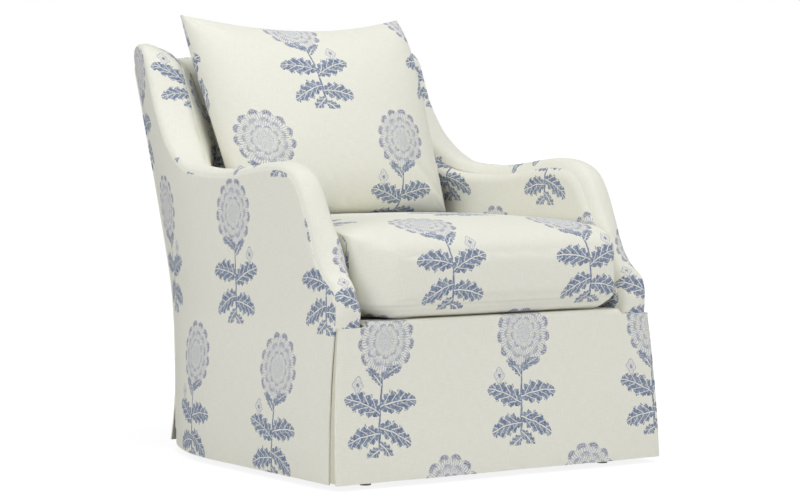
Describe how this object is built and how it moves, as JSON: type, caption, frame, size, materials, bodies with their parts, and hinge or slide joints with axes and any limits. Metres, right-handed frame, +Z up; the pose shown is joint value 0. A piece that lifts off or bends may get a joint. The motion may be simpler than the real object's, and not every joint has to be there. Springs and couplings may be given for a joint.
{
  "type": "skirted lounge chair",
  "caption": "Upholstered lounge chair with sloping arms, a skirt to the floor, a loose box seat cushion and a loose knife-edge back pillow.",
  "frame": {"origin": "on the floor, under the middle of the chair's plan outline", "axes": "+Z up, -Y towards the front where the sitter's knees are, +X to the right of someone facing the chair's front, as the node names have it"},
  "size_m": [0.8, 0.988, 0.9367],
  "materials": {
    "printed_linen": "matte",
    "pleat_linen": "matte",
    "deck_cotton": "matte",
    "birch_ply": "matte",
    "foam": "matte",
    "down_fill": "matte",
    "frame_pine": "matte",
    "jute_webbing": "matte",
    "black_cambric": "matte",
    "leg_walnut": "satin",
    "glide_plastic": "matte",
    "zip_nylon": "satin"
  },
  "bodies": {
    "chair_frame": {"arm_band_left": "printed_linen", "arm_band_right": "printed_linen", "arm_board_left": "birch_ply", "arm_board_right": "birch_ply", "arm_padding_left": "foam", "arm_padding_right": "foam", "back_pad": "foam", "back_post_left": "frame_pine", "back_post_right": "frame_pine", "back_rail": "frame_pine", "corner_block_front_left": "frame_pine", "corner_block_front_right": "frame_pine", "corner_block_rear_left": "frame_pine", "corner_block_rear_right": "frame_pine", "crest_rail": "frame_pine", "deck_cloth": "deck_cotton", "deck_pad": "foam", "dust_cover": "black_cambric", "edge_roll": "foam", "front_rail": "frame_pine", "glide_front_left": "glide_plastic", "glide_front_right": "glide_plastic", "glide_rear_left": "glide_plastic", "glide_rear_right": "glide_plastic", "inside_arm_left": "printed_linen", "inside_arm_right": "printed_linen", "inside_back": "printed_linen", "leg_front_left": "leg_walnut", "leg_front_right": "leg_walnut", "leg_rear_left": "leg_walnut", "leg_rear_right": "leg_walnut", "lower_back_rail": "frame_pine", "outside_arm_left": "printed_linen", "outside_arm_right": "printed_linen", "outside_back": "printed_linen", "pleat_front_left": "pleat_linen", "pleat_front_right": "pleat_linen", "pleat_rear_left": "pleat_linen", "pleat_rear_right": "pleat_linen", "side_rail_left": "frame_pine", "side_rail_right": "frame_pine", "skirt_front": "printed_linen", "web_strap_1": "jute_webbing", "web_strap_2": "jute_webbing", "web_strap_3": "jute_webbing", "web_strap_4": "jute_webbing", "web_strap_5": "jute_webbing"},
    "seat_cushion": {"seat_cushion_cover": "printed_linen", "seat_cushion_core": "foam", "seat_cushion_zip": "zip_nylon"},
    "back_pillow": {"back_pillow_cover": "printed_linen", "back_pillow_core": "down_fill", "back_pillow_zip": "zip_nylon"}
  },
  "joints": [
    {"name": "seat_cushion_pull", "type": "slide", "parent": "chair_frame", "child": "seat_cushion", "axis": [0, -1, 0], "range_m": [0, 0.72]},
    {"name": "back_pillow_lift", "type": "slide", "parent": "seat_cushion", "child": "back_pillow", "axis": [0, 0, 1], "range_m": [0, 0.42]}
  ]
}
